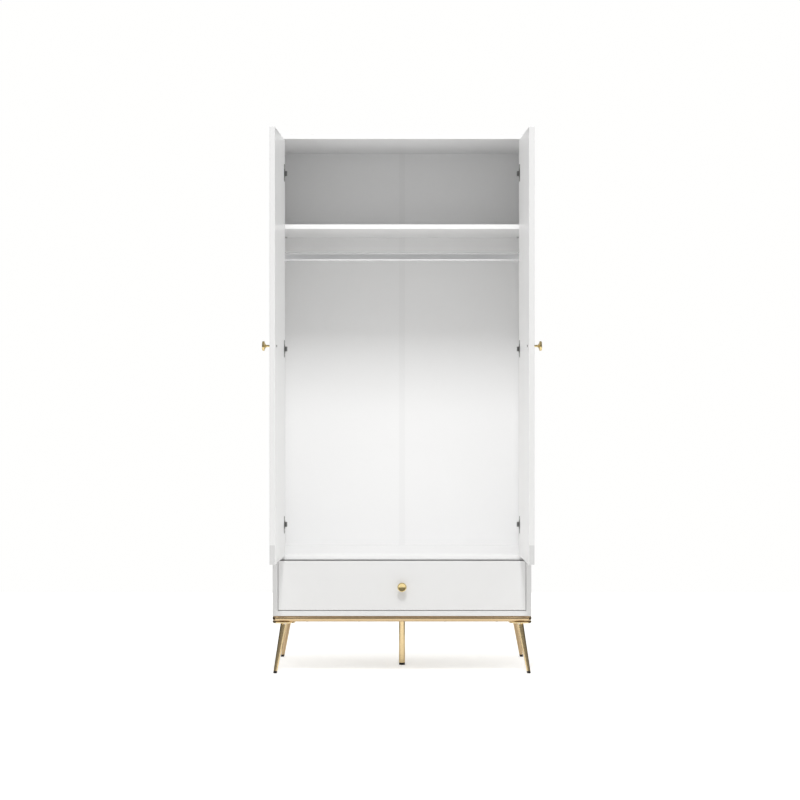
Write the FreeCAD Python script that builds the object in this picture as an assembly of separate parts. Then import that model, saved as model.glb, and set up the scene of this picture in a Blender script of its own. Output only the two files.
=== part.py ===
import FreeCAD, Part
import math
import os

# A free-standing wardrobe: two hinged doors over one drawer, a hat shelf and a hanging rail
# inside, on a welded tube frame with four splayed legs and a straight leg in the middle.
# Millimetres. X runs from left to right, the front faces -Y and Z is up. The origin is on the
# floor, at the middle of the middle leg's foot. At rest the doors stand open and the drawer is shut.

# ---- Overall sizes -------------------------------------------------------------------------
width = 900.0
depth = 530.0
height = 1875.0
leg_height = 180.0
frame_tube_diameter = 20.0

# ---- Boards --------------------------------------------------------------------------------
side_thickness = 18.0
top_thickness = 16.0
bottom_thickness = 18.0
divider_thickness = 18.0
shelf_thickness = 16.0
back_thickness = 3.0
board_edge_radius = 0.6
back_inset = 11.0
back_groove_depth = 6.0
back_groove_play = 0.2
back_end_inset = 1.0
drawer_opening_height = 176.0
divider_setback = 24.0
shelf_setback = 30.0
shelf_underside_below_top = 327.0
shelf_side_play = 0.5
back_strip_width = 22.0
back_strip_thickness = 1.0
back_strip_web = 2.0

# ---- Hidden fittings of the carcass --------------------------------------------------------
cam_diameter = 15.0
cam_depth = 12.0
cam_from_side = 34.0
cam_bolt_diameter = 6.0
dowel_diameter = 8.0
dowel_in_board = 23.0
fitting_in_side = 11.0
fitting_from_front = 60.0
fitting_from_back = 60.0
dowel_from_cam = 32.0
shelf_pin_diameter = 5.0
shelf_pin_in_side = 9.0
shelf_pin_reach = 11.0
shelf_pin_width = 10.0
shelf_pin_thickness = 5.0
shelf_pin_inset = 60.0
nail_diameter = 1.6
nail_head_diameter = 4.0
nail_head_height = 0.8
nail_length = 20.0
nail_from_side = 60.0
nails_per_half = 3

# ---- Hanging rail --------------------------------------------------------------------------
rail_height = 30.0
rail_width = 15.0
rail_wall = 1.2
rail_below_shelf = 83.5
socket_plate_thickness = 3.0
socket_plate_width = 26.0
socket_plate_height = 66.0
socket_collar_wall = 2.0
socket_collar_length = 14.0
socket_screw_spacing = 50.0

# ---- Base frame and legs -------------------------------------------------------------------
frame_tube_wall = 1.5
frame_overhang = 1.5
frame_bend_radius = 20.0
flange_diameter = 80.0
flange_thickness = 6.0
flange_seat = 0.8
flange_inset = 38.0
leg_top_diameter = 23.0
leg_bottom_diameter = 13.0
leg_splay = 30.0
leg_wall = 1.5
foot_height = 8.0
foot_plug_height = 12.0
centre_leg_diameter = 22.0
centre_flange_diameter = 60.0
flange_screw_diameter = 6.0
flange_screw_head_diameter = 11.0
flange_screw_head_height = 3.5
flange_screw_in_tube = 8.0
flange_screw_offset = 5.0
centre_screw_offset = 21.0
frame_screw_diameter = 4.5
frame_screw_head_diameter = 9.0
frame_screw_head_height = 2.5
frame_screw_below_groove = 1.0
frame_screw_places = (150.0, 330.0)

# ---- Doors ---------------------------------------------------------------------------------
door_thickness = 18.0
door_edge_radius = 1.2
door_side_gap = 3.0
door_middle_gap = 3.0
door_top_gap = 2.0
door_overlap_below = 4.0
door_rest_angle = 91.6
knob_from_free_edge = 60.0

# ---- Knobs ---------------------------------------------------------------------------------
knob_diameter = 32.0
knob_projection = 29.0
knob_stem_diameter = 7.5
knob_stem_length = 13.0
knob_rim_height = 7.5
knob_rim_radius = 2.4
knob_dish_depth = 1.6
knob_screw_diameter = 4.0
knob_screw_in_knob = 10.0
knob_screw_head_diameter = 8.0
knob_screw_head_height = 2.4

# ---- Concealed hinges (screws and arm ends are measured back from the front plane) ---------
hinge_from_door_bottom = 110.0
hinge_from_door_top = 117.0
pivot_from_side = 13.7
pivot_from_door_back = 10.0
hinge_pin_diameter = 2.5
hinge_pin_length = 23.4
hinge_pin_clearance = 0.05
knuckle_diameter = 4.4
cup_diameter = 35.0
cup_depth = 13.5
cup_wall = 0.8
cup_from_door_edge = 21.0
cup_flange_thickness = 1.2
cup_flange_rim = 1.2
cup_flange_height = 60.0
cup_flange_width = 22.0
cup_lug_thickness = 3.2
cup_lug_width = 6.5
cup_lug_height = 5.2
cup_screw_spacing = 48.0
cup_screw_offset = 9.5
cup_screw_diameter = 3.2
cup_screw_length = 12.2
cup_screw_head_diameter = 6.5
cup_screw_head_height = 1.5
arm_width = 16.0
arm_play_in_cup = 0.6
arm_sheet = 2.2
arm_reach = 32.0
arm_behind_door = 8.0
arm_channel_width = 17.0
arm_channel_wall = 1.6
arm_channel_height = 9.0
arm_above_side = 3.0
arm_end_from_front = 82.0
plate_screw_from_front = 55.0
plate_screw_spacing = 32.0
plate_thickness = 2.0
plate_height = 48.0
plate_wing_width = 15.0
plate_length = 38.0
plate_boss_play = 0.4
plate_screw_diameter = 3.5
plate_screw_head_diameter = 7.0
plate_screw_head_height = 2.0
plate_screw_in_side = 13.0
arm_screw_diameter = 6.0
arm_screw_head_diameter = 9.0
arm_screw_head_height = 2.0
arm_screw_from_front = 66.0

# ---- Drawer --------------------------------------------------------------------------------
drawer_front_thickness = 18.0
drawer_front_side_gap = 1.5
drawer_front_bottom_gap = 2.0
drawer_front_top_gap = 2.5
drawer_front_radius = 1.8
drawer_wall = 12.0
drawer_side_height = 120.0
drawer_rear_clearance = 48.0
drawer_side_above_bottom = 18.0
drawer_bottom_thickness = 3.0
drawer_bottom_groove = 5.0
drawer_bottom_above_edge = 10.0
drawer_fixing_diameter = 5.0
drawer_fixing_in_board = 26.0
drawer_dowel_diameter = 8.0
drawer_dowel_in_front = 12.0
drawer_dowel_in_side = 20.0
drawer_fixing_spacing = 64.0
drawer_knob_below_middle = 4.0

# ---- Drawer runners ------------------------------------------------------------------------
runner_thickness = 12.7
runner_height = 45.7
runner_sheet = 1.2
runner_ball_gap = 2.2
runner_above_drawer_edge = 54.0
runner_lip = 9.0
runner_middle_depth = 7.0
runner_middle_from_side = 3.0
runner_inner_depth = 6.0
runner_end_setback = 1.0

# ---- Places that follow from the sizes above ----------------------------------------------
half_width = width / 2
inner_half = half_width - side_thickness
front_y = -depth / 2
rear_y = depth / 2
carcass_bottom = leg_height + frame_tube_diameter
bottom_top = carcass_bottom + bottom_thickness
divider_bottom = bottom_top + drawer_opening_height
divider_top = divider_bottom + divider_thickness
top_underside = height - top_thickness
shelf_bottom = height - shelf_underside_below_top
back_rear_y = rear_y - back_inset
back_front_y = back_rear_y - back_thickness
frame_screw_in_board = bottom_thickness - back_groove_depth - frame_screw_below_groove
door_width = inner_half - door_side_gap - door_middle_gap / 2
door_bottom = divider_top - door_overlap_below
door_top = top_underside - door_top_gap
low_hinge = door_bottom + hinge_from_door_bottom
high_hinge = door_top - hinge_from_door_top
hinge_heights = (low_hinge, (low_hinge + high_hinge) / 2, high_hinge)
knob_height = (door_bottom + door_top) / 2
rail_z = shelf_bottom - rail_below_shelf
tube_radius = frame_tube_diameter / 2
tube_x = half_width + frame_overhang - tube_radius
tube_y = depth / 2 + frame_overhang - tube_radius
tube_z = leg_height + tube_radius
leg_x = half_width - flange_inset
leg_y = depth / 2 - flange_inset
flange_bottom = leg_height - flange_thickness
Z = FreeCAD.Vector(0, 0, 1)
ORIGIN = FreeCAD.Vector(0, 0, 0)


def point(x, y, z):
    return FreeCAD.Vector(x, y, z)


def block(x0, x1, y0, y1, z0, z1):
    """A plain box between two corners."""
    return Part.makeBox(x1 - x0, y1 - y0, z1 - z0, point(x0, y0, z0))


def board(x0, x1, y0, y1, z0, z1, radius=board_edge_radius):
    """A board with its edges eased by a small radius."""
    solid = block(x0, x1, y0, y1, z0, z1)
    return solid.makeFillet(radius, solid.Edges)


def rod(start, axis, diameter, length):
    """A round bar from a start point along an axis."""
    return Part.makeCylinder(diameter / 2, length, start, axis)


def screw(head_top, axis, diameter, length, head_diameter, head_height):
    """A pan-head screw: axis points from the head's outer face along the shank."""
    unit = FreeCAD.Vector(axis)
    unit.normalize()
    head = rod(head_top, unit, head_diameter, head_height)
    shank = rod(head_top + unit * head_height, unit, diameter, length)
    return head.fuse(shank).removeSplitter()


def mirrored(shape):
    """The same piece for the other side of the wardrobe."""
    return shape.mirror(ORIGIN, point(1, 0, 0))


def both_sides(shapes):
    """Left-hand solids followed by their right-hand twins."""
    return list(shapes) + [mirrored(shape) for shape in shapes]


def cut_all(shape, tools):
    return shape.cut(Part.makeCompound(list(tools))) if tools else shape


def save(node, shapes):
    """Write one node, as one solid or as a group of separate solids."""
    solids = [solid for shape in shapes for solid in shape.Solids]
    shape = solids[0] if len(solids) == 1 else Part.makeCompound(solids)
    assert shape.isValid(), node
    shape.exportStep("parts/" + node + ".step")
    print("%-26s %2d solid(s) %10.0f mm3" % (node, len(solids), shape.Volume))


# ---- Cam fittings, bolts and dowels that join the boards to the sides ----------------------
def carcass_fittings():
    """Cams, their bolts and the dowels for the left ends of the three fixed boards."""
    joints = (
        (top_underside, top_thickness, 1, front_y),
        (divider_bottom, divider_thickness, -1, front_y + divider_setback),
        (carcass_bottom, bottom_thickness, -1, front_y),
    )
    cams, bolts, dowels = [], [], []
    for underside, thickness, face, board_front in joints:
        middle = underside + thickness / 2
        surface = underside + thickness if face > 0 else underside
        places = ((board_front + fitting_from_front, 1), (back_front_y - fitting_from_back, -1))
        for y, inward in places:
            bolt = rod(point(-inner_half - fitting_in_side, y, middle), point(1, 0, 0),
                       cam_bolt_diameter, fitting_in_side + cam_from_side)
            cam = rod(point(-inner_half + cam_from_side, y, surface), Z * -face,
                      cam_diameter, cam_depth)
            cams.append(cam.cut(bolt))
            bolts.append(bolt)
            dowels.append(rod(point(-inner_half - fitting_in_side, y + inward * dowel_from_cam, middle),
                              point(1, 0, 0), dowel_diameter, fitting_in_side + dowel_in_board))
    return cams, bolts, dowels


def shelf_pins():
    """The left-hand pins under the hat shelf: a round plug with a flat tab."""
    pins = []
    for y in (front_y + shelf_setback + shelf_pin_inset, back_front_y - shelf_pin_inset):
        plug = rod(point(-inner_half - shelf_pin_in_side, y, shelf_bottom - shelf_pin_thickness / 2),
                   point(1, 0, 0), shelf_pin_diameter, shelf_pin_in_side)
        tab = block(-inner_half, -inner_half + shelf_pin_reach, y - shelf_pin_width / 2,
                    y + shelf_pin_width / 2, shelf_bottom - shelf_pin_thickness, shelf_bottom)
        pins.append(plug.fuse(tab).removeSplitter())
    return pins


def back_nails():
    """Nails through the back into the rear edges of the divider, the shelf and the top."""
    span = inner_half - 2 * nail_from_side
    levels = (divider_bottom + divider_thickness / 2, shelf_bottom + shelf_thickness / 2,
              top_underside + top_thickness / 2)
    nails = []
    for z in levels:
        for step in range(nails_per_half):
            x = -inner_half + nail_from_side + span * step / (nails_per_half - 1)
            nails.append(screw(point(x, back_rear_y + nail_head_height, z), point(0, -1, 0),
                               nail_diameter, nail_length, nail_head_diameter, nail_head_height))
    return both_sides(nails)


# ---- Hanging rail --------------------------------------------------------------------------
def oval_bar(x0, x1, tall, wide):
    """A bar along X whose section has flat sides and half-round top and bottom."""
    radius = wide / 2
    straight = tall / 2 - radius
    bar = block(x0, x1, -radius, radius, rail_z - straight, rail_z + straight)
    for z in (rail_z - straight, rail_z + straight):
        bar = bar.fuse(rod(point(x0, 0, z), point(1, 0, 0), wide, x1 - x0))
    return bar.removeSplitter()


def hanging_rail():
    end = inner_half - socket_plate_thickness
    outside = oval_bar(-end, end, rail_height, rail_width)
    return outside.cut(oval_bar(-end, end, rail_height - 2 * rail_wall, rail_width - 2 * rail_wall))


def socket_screws():
    """The two screws of the left-hand rail socket."""
    head_top = -inner_half + socket_plate_thickness + plate_screw_head_height
    return [screw(point(head_top, 0, rail_z + offset), point(-1, 0, 0), plate_screw_diameter,
                  socket_plate_thickness + plate_screw_in_side, plate_screw_head_diameter,
                  plate_screw_head_height)
            for offset in (-socket_screw_spacing / 2, socket_screw_spacing / 2)]


def rail_socket():
    """The left-hand socket: an oval plate with a collar round the end of the rail."""
    plate = oval_bar(-inner_half, -inner_half + socket_plate_thickness,
                     socket_plate_height, socket_plate_width)
    collar = oval_bar(-inner_half, -inner_half + socket_collar_length,
                      rail_height + 2 * socket_collar_wall, rail_width + 2 * socket_collar_wall)
    seat = oval_bar(-inner_half + socket_plate_thickness, -inner_half + socket_collar_length,
                    rail_height, rail_width)
    return cut_all(plate.fuse(collar).removeSplitter().cut(seat), socket_screws())


# ---- Base frame, legs and feet -------------------------------------------------------------
def tube_section(diameter, centre, axis):
    return Part.Face(Part.Wire(Part.makeCircle(diameter / 2, centre, axis)))


def cross_rail_bar(side, diameter):
    """The front (side -1) or back (side 1) rail with a quarter bend at each end, as a solid bar."""
    straight = tube_x - frame_bend_radius
    y = side * tube_y
    start = point(-straight, y, tube_z)
    bar = tube_section(diameter, start, point(1, 0, 0)).extrude(point(2 * straight, 0, 0))
    for end in (-1, 1):
        centre = point(end * straight, y - side * frame_bend_radius, tube_z)
        section = tube_section(diameter, point(end * straight, y, tube_z), point(1, 0, 0))
        bar = bar.fuse(section.revolve(centre, Z * (-end * side), 90))
    return bar.removeSplitter()


def side_rail_bar(x, diameter, half_length):
    return rod(point(x, -half_length, tube_z), point(0, 1, 0), diameter, 2 * half_length)


def frame_screws():
    """Countersunk screws up through the front and back rails into the bottom board."""
    screws = []
    for y in (-tube_y, tube_y):
        for x in frame_screw_places:
            head = Part.makeCone(frame_screw_head_diameter / 2, frame_screw_diameter / 2,
                                 frame_screw_head_height, point(-x, y, leg_height), Z)
            shank = rod(point(-x, y, leg_height), Z, frame_screw_diameter,
                        frame_tube_diameter + frame_screw_in_board)
            screws.append(head.fuse(shank).removeSplitter())
    return both_sides(screws)


def flange_screws():
    """Machine screws that hold the leg flanges up against the frame's tubes."""
    places = []
    for side in (-1, 1):
        places.append((-tube_x, side * (leg_y - flange_screw_offset)))
        places.append((-leg_x + flange_screw_offset, side * tube_y))
    places = places + [(-x, y) for x, y in places]
    places = places + [(0, -centre_screw_offset), (0, centre_screw_offset)]
    return [screw(point(x, y, flange_bottom - flange_screw_head_height), Z, flange_screw_diameter,
                  flange_thickness + flange_screw_in_tube, flange_screw_head_diameter,
                  flange_screw_head_height) for x, y in places]


def leg_cone(side_x, side_y, wall):
    """The leg's tapered bar without its wall, longer than the leg at both ends."""
    top = point(side_x * leg_x, side_y * leg_y, flange_bottom)
    bottom = point(side_x * (leg_x + leg_splay), side_y * (leg_y + leg_splay), 0)
    run = top - bottom
    extra = leg_top_diameter
    slope = (leg_top_diameter - leg_bottom_diameter) / 2 / run.Length
    unit = FreeCAD.Vector(run)
    unit.normalize()
    return Part.makeCone(leg_bottom_diameter / 2 - wall - slope * extra,
                         leg_top_diameter / 2 - wall + slope * extra,
                         run.Length + 2 * extra, bottom - unit * extra, unit)


def slab(low, high):
    """Everything between two heights."""
    reach = width
    return block(-reach, reach, -reach, reach, low, high)


def corner_leg(side_x, side_y, tubes, screws):
    """A splayed tapered tube welded to the round flange that seats under the frame's corner."""
    tube = leg_cone(side_x, side_y, 0).common(slab(foot_height, flange_bottom))
    flange = rod(point(side_x * leg_x, side_y * leg_y, flange_bottom), Z,
                 flange_diameter, flange_thickness + flange_seat)
    flange = cut_all(flange, tubes)
    leg = tube.fuse(flange).cut(leg_cone(side_x, side_y, leg_wall).common(slab(0, flange_bottom)))
    return cut_all(leg, screws)


def corner_foot(side_x, side_y):
    """The black glide that closes the leg: it carries on the taper and plugs into the tube."""
    pad = leg_cone(side_x, side_y, 0).common(slab(0, foot_height))
    plug = leg_cone(side_x, side_y, leg_wall).common(slab(foot_height, foot_height + foot_plug_height))
    return pad.fuse(plug)


def centre_leg(tubes, screws):
    tube = rod(point(0, 0, foot_height), Z, centre_leg_diameter, flange_bottom - foot_height)
    flange = rod(point(0, 0, flange_bottom), Z, centre_flange_diameter, flange_thickness + flange_seat)
    inside = rod(ORIGIN, Z, centre_leg_diameter - 2 * leg_wall, flange_bottom)
    return cut_all(tube.fuse(cut_all(flange, tubes)).cut(inside), screws)


def centre_foot():
    pad = rod(ORIGIN, Z, centre_leg_diameter, foot_height)
    plug = rod(point(0, 0, foot_height), Z, centre_leg_diameter - 2 * leg_wall, foot_plug_height)
    return pad.fuse(plug)


# ---- Knob: a turned mushroom on a thin stem ------------------------------------------------
def knob(base, outward):
    """Stem, flared neck, rim and a shallow dish, turned about the outward axis."""
    stem = knob_stem_diameter / 2
    radius = knob_diameter / 2
    rim_low = knob_projection - knob_rim_height
    neck = point(stem + (radius - stem) * 0.3, 0, knob_stem_length + (rim_low - knob_stem_length) * 0.72)
    top = knob_projection
    rim = radius - knob_rim_radius
    corner = knob_rim_radius * (1 - math.sqrt(0.5))
    outline = [
        Part.makeLine(ORIGIN, point(stem, 0, 0)),
        Part.makeLine(point(stem, 0, 0), point(stem, 0, knob_stem_length)),
        Part.Arc(point(stem, 0, knob_stem_length), neck, point(radius, 0, rim_low)).toShape(),
        Part.makeLine(point(radius, 0, rim_low), point(radius, 0, top - knob_rim_radius)),
        Part.Arc(point(radius, 0, top - knob_rim_radius), point(radius - corner, 0, top - corner),
                 point(rim, 0, top)).toShape(),
        Part.makeLine(point(rim, 0, top), point(0, 0, top)),
        Part.makeLine(point(0, 0, top), ORIGIN),
    ]
    solid = Part.Face(Part.Wire(outline)).revolve(ORIGIN, Z, 360)
    dish_radius = (rim ** 2 + knob_dish_depth ** 2) / (2 * knob_dish_depth)
    solid = solid.cut(Part.makeSphere(dish_radius, point(0, 0, top - knob_dish_depth + dish_radius)))
    solid.rotate(ORIGIN, Z.cross(outward), math.degrees(Z.getAngle(outward)))
    solid.translate(base)
    return solid.cut(rod(base, outward, knob_screw_diameter, knob_screw_in_knob))


def knob_screw(base, outward, panel_thickness):
    """The machine screw through the panel, with its head on the inner face."""
    head_top = base - outward * (panel_thickness + knob_screw_head_height)
    return screw(head_top, outward, knob_screw_diameter, panel_thickness + knob_screw_in_knob,
                 knob_screw_head_diameter, knob_screw_head_height)


# ---- Left-hand hinges, in place with the door shut -----------------------------------------
hinge_x = -inner_half + pivot_from_side
door_inner_y = front_y + door_thickness
hinge_y = door_inner_y - pivot_from_door_back
cup_x = -inner_half + door_side_gap + cup_from_door_edge


def hinge_pin(z):
    return rod(point(hinge_x, hinge_y, z - hinge_pin_length / 2), Z, hinge_pin_diameter, hinge_pin_length)


def hinge_arm(z):
    """A knuckle in the cup, a gooseneck out of it, and a channel back along the side."""
    half = arm_width / 2
    low_y = hinge_y - knuckle_diameter / 2
    reach_x = -inner_half + arm_reach
    back_y = door_inner_y + arm_behind_door
    side_x = -inner_half + arm_above_side
    knuckle = rod(point(hinge_x, hinge_y, z - half), Z, knuckle_diameter, arm_width)
    bar = block(hinge_x, reach_x, low_y, low_y + arm_sheet, z - half, z + half)
    neck = block(reach_x - arm_sheet, reach_x, low_y, back_y, z - half, z + half)
    back = block(side_x, reach_x, back_y - arm_sheet, back_y, z - half, z + half)
    outer_x = side_x + arm_channel_height
    channel_half = arm_channel_width / 2
    channel = block(side_x, outer_x, back_y - arm_sheet, front_y + arm_end_from_front,
                    z - channel_half, z + channel_half)
    hollow = block(side_x, outer_x - arm_channel_wall, back_y, front_y + arm_end_from_front,
                   z - channel_half + arm_channel_wall, z + channel_half - arm_channel_wall)
    arm = knuckle.fuse([bar, neck, back, channel]).removeSplitter().cut(hollow)
    return arm.cut(hinge_pin(z)).cut(arm_screw(z))


def hinge_plate(z):
    """A cross-shaped plate screwed to the side, with a boss that the arm slides over."""
    side_x = -inner_half
    plate_y = front_y + plate_screw_from_front
    wing = block(side_x, side_x + plate_thickness, plate_y - plate_wing_width / 2,
                 plate_y + plate_wing_width / 2, z - plate_height / 2, z + plate_height / 2)
    boss_half = arm_channel_width / 2 - arm_channel_wall - plate_boss_play
    boss_top = side_x + arm_above_side + arm_channel_height - arm_channel_wall
    boss = block(side_x, boss_top, plate_y - plate_length / 2, plate_y + plate_length / 2,
                 z - boss_half, z + boss_half)
    return cut_all(wing.fuse(boss).removeSplitter(), plate_screws(z) + [arm_screw(z)])


def plate_screws(z):
    """The two wood screws of one plate."""
    head_top = -inner_half + plate_thickness + plate_screw_head_height
    return [screw(point(head_top, front_y + plate_screw_from_front, z + offset), point(-1, 0, 0),
                  plate_screw_diameter, plate_thickness + plate_screw_in_side,
                  plate_screw_head_diameter, plate_screw_head_height)
            for offset in (-plate_screw_spacing / 2, plate_screw_spacing / 2)]


def arm_screw(z):
    """The machine screw that clamps the arm to its plate."""
    arm_top = -inner_half + arm_above_side + arm_channel_height
    length = arm_above_side + arm_channel_height - plate_thickness
    return screw(point(arm_top + arm_screw_head_height, front_y + arm_screw_from_front, z),
                 point(-1, 0, 0), arm_screw_diameter, length, arm_screw_head_diameter,
                 arm_screw_head_height)


def hinge_cup(z):
    """The pressed cup with its flange and the two lugs that turn on the pin."""
    cup_bottom = door_inner_y - cup_depth
    flange_top = door_inner_y + cup_flange_thickness
    inward = point(0, 1, 0)
    centre = point(cup_x, cup_bottom, z)
    shell = rod(centre, inward, cup_diameter, cup_depth + cup_flange_thickness)
    rim = rod(point(cup_x, door_inner_y, z), inward, cup_diameter + 2 * cup_flange_rim,
              cup_flange_thickness)
    wing_x = cup_x + cup_screw_offset
    wing = block(wing_x - cup_flange_width / 2, wing_x + cup_flange_width / 2, door_inner_y, flange_top,
                 z - cup_flange_height / 2, z + cup_flange_height / 2)
    corners = [edge for edge in wing.Edges if abs(edge.tangentAt(edge.FirstParameter).y) > 0.9]
    wing = wing.makeFillet(cup_flange_width / 4, corners)
    cavity = rod(centre + inward * cup_wall, inward, cup_diameter - 2 * cup_wall,
                 cup_depth + cup_flange_thickness)
    cup = shell.fuse([rim, wing]).removeSplitter().cut(cavity)
    gap = arm_width / 2 + arm_play_in_cup
    for low in (z - gap - cup_lug_thickness, z + gap):
        lug = block(hinge_x - cup_lug_width / 2, hinge_x + cup_lug_width / 2, cup_bottom,
                    cup_bottom + cup_wall + cup_lug_height, low, low + cup_lug_thickness)
        cup = cup.fuse(lug.common(shell))
    bore = rod(point(hinge_x, hinge_y, z - cup_diameter / 2), Z,
               hinge_pin_diameter + 2 * hinge_pin_clearance, cup_diameter)
    bore = bore.common(rod(centre, inward, cup_diameter - 2 * cup_wall, cup_depth))
    return cut_all(cup.removeSplitter().cut(bore), cup_screws(z))


def cup_screws(z):
    """The two wood screws that hold one cup in the door."""
    head_top = door_inner_y + cup_flange_thickness + cup_screw_head_height
    return [screw(point(cup_x + cup_screw_offset, head_top, z + offset), point(0, -1, 0),
                  cup_screw_diameter, cup_screw_length, cup_screw_head_diameter,
                  cup_screw_head_height)
            for offset in (-cup_screw_spacing / 2, cup_screw_spacing / 2)]


# ---- Left-hand door, in place and shut -----------------------------------------------------
door_free_x = -inner_half + door_side_gap + door_width
door_knob_base = point(door_free_x - knob_from_free_edge, front_y, knob_height)
OUT = point(0, -1, 0)


def door_panel():
    panel = board(-inner_half + door_side_gap, door_free_x, front_y, door_inner_y,
                  door_bottom, door_top, door_edge_radius)
    tools = [knob_screw(door_knob_base, OUT, door_thickness)]
    for z in hinge_heights:
        tools.append(rod(point(cup_x, door_inner_y - cup_depth, z), point(0, 1, 0),
                         cup_diameter, cup_depth))
        tools.extend(cup_screws(z))
    return cut_all(panel, tools)


def opened(shapes):
    """Swing the left-hand door's pieces from shut to the angle they rest at."""
    turned = []
    for shape in shapes:
        copy = shape.copy()
        copy.rotate(point(hinge_x, hinge_y, 0), Z, -door_rest_angle)
        turned.append(copy)
    return turned


# ---- Drawer, shut --------------------------------------------------------------------------
drawer_front_bottom = bottom_top + drawer_front_bottom_gap
drawer_front_top = divider_bottom - drawer_front_top_gap
drawer_rear_of_front = front_y + drawer_front_thickness
drawer_outer_half = inner_half - runner_thickness
drawer_inner_half = drawer_outer_half - drawer_wall
drawer_low = bottom_top + drawer_side_above_bottom
drawer_high = drawer_low + drawer_side_height
drawer_back_y = back_front_y - drawer_rear_clearance
drawer_floor = drawer_low + drawer_bottom_above_edge
drawer_knob_height = (drawer_front_bottom + drawer_front_top) / 2 - drawer_knob_below_middle
drawer_knob_base = point(0, front_y, drawer_knob_height)


def drawer_fixings():
    """Left-hand screws into the drawer's back and glued dowels into its front."""
    middle = (drawer_low + drawer_high) / 2
    fixings = []
    for z in (middle - drawer_fixing_spacing / 2, middle + drawer_fixing_spacing / 2):
        fixings.append(rod(point(-drawer_outer_half, drawer_back_y - drawer_wall / 2, z),
                           point(1, 0, 0), drawer_fixing_diameter, drawer_wall + drawer_fixing_in_board))
        fixings.append(rod(point(-drawer_outer_half + drawer_wall / 2,
                                 drawer_rear_of_front - drawer_dowel_in_front, z), point(0, 1, 0),
                           drawer_dowel_diameter, drawer_dowel_in_front + drawer_dowel_in_side))
    return fixings


def drawer_bottom_sheet():
    reach = drawer_inner_half + drawer_bottom_groove
    return block(-reach, reach, drawer_rear_of_front - drawer_bottom_groove, drawer_back_y,
                 drawer_floor, drawer_floor + drawer_bottom_thickness)


def drawer_front():
    half = inner_half - drawer_front_side_gap
    panel = board(-half, half, front_y, drawer_rear_of_front, drawer_front_bottom, drawer_front_top,
                  drawer_front_radius)
    tools = both_sides(drawer_fixings()) + [drawer_bottom_sheet()]
    tools.append(knob_screw(drawer_knob_base, OUT, drawer_front_thickness))
    return cut_all(panel, tools)


def drawer_side():
    side = block(-drawer_outer_half, -drawer_inner_half, drawer_rear_of_front, drawer_back_y,
                 drawer_low, drawer_high)
    return cut_all(side, drawer_fixings() + [drawer_bottom_sheet()])


def drawer_back():
    back = block(-drawer_inner_half, drawer_inner_half, drawer_back_y - drawer_wall, drawer_back_y,
                 drawer_floor + drawer_bottom_thickness, drawer_high)
    return cut_all(back, both_sides(drawer_fixings()))


# ---- Left-hand runner: three nested channels -----------------------------------------------
def channel(x_web, x_lip, half_height, y0, y1, z):
    """A sheet channel along Y: the web stands at x_web and the lips reach to x_lip."""
    direction = 1 if x_lip > x_web else -1
    low_x, high_x = sorted((x_web, x_lip))
    outside = block(low_x, high_x, y0, y1, z - half_height, z + half_height)
    inner = sorted((x_web + direction * runner_sheet, x_lip + direction))
    inside = block(inner[0], inner[1], y0, y1, z - half_height + runner_sheet,
                   z + half_height - runner_sheet)
    return outside.cut(inside)


def runner():
    """Cabinet, middle and drawer members of the left-hand runner, shut."""
    z = drawer_low + runner_above_drawer_edge
    y0 = drawer_rear_of_front + runner_end_setback
    y1 = drawer_back_y - runner_end_setback
    cabinet_half = runner_height / 2
    middle_half = cabinet_half - runner_sheet - runner_ball_gap
    inner_half_height = middle_half - runner_sheet - runner_ball_gap
    cabinet = channel(-inner_half, -inner_half + runner_lip, cabinet_half, y0, y1, z)
    middle_x = -inner_half + runner_middle_from_side
    middle = channel(middle_x, middle_x + runner_middle_depth, middle_half, y0, y1, z)
    drawer = channel(-drawer_outer_half, -drawer_outer_half - runner_inner_depth,
                     inner_half_height, y0, y1, z)
    return cabinet, middle, drawer


# ---- Boards of the carcass -----------------------------------------------------------------
cams, cam_bolts, dowels = carcass_fittings()
pins = shelf_pins()
nails = back_nails()
strip_half = back_strip_width / 2
strip_notch = block(-strip_half, strip_half, back_front_y - back_strip_thickness, back_front_y,
                    bottom_top, height)
groove_front = back_front_y - back_groove_play
groove_rear = back_rear_y + back_groove_play


def side_panel():
    panel = board(-half_width, -inner_half, front_y, rear_y, carcass_bottom, height)
    groove = block(-inner_half - back_groove_depth, -inner_half, groove_front, groove_rear,
                   bottom_top - back_groove_depth, height)
    holes = cam_bolts + dowels + pins + socket_screws()
    for z in hinge_heights:
        holes = holes + plate_screws(z)
    return cut_all(panel.cut(groove), holes)


def fixed_board(front, rear, low, thickness):
    """A board between the sides, drilled for its fittings and notched for the back's strip."""
    panel = board(-inner_half, inner_half, front, rear, low, low + thickness)
    cam_bores = both_sides([cam.fuse(bolt) for cam, bolt in zip(cams, cam_bolts)])
    tools = cam_bores + both_sides(dowels) + nails + frame_screws() + [strip_notch]
    return cut_all(panel, tools)


def bottom_board():
    """The full-depth board that the frame is screwed to; the back stands in its groove."""
    panel = fixed_board(front_y, rear_y, carcass_bottom, bottom_thickness)
    return panel.cut(block(-inner_half, inner_half, groove_front, groove_rear,
                           bottom_top - back_groove_depth, bottom_top))


def hat_shelf():
    panel = board(-inner_half + shelf_side_play, inner_half - shelf_side_play, front_y + shelf_setback,
                  back_front_y, shelf_bottom, shelf_bottom + shelf_thickness)
    return cut_all(panel, nails + [strip_notch])


def back_half():
    """The left-hand half of the back, from the side's groove to the strip in the middle."""
    panel = block(-inner_half - back_groove_depth + back_groove_play, -back_strip_web / 2,
                  back_front_y, back_rear_y, bottom_top - back_groove_depth + back_end_inset,
                  height - back_end_inset)
    return cut_all(panel, nails)


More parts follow.
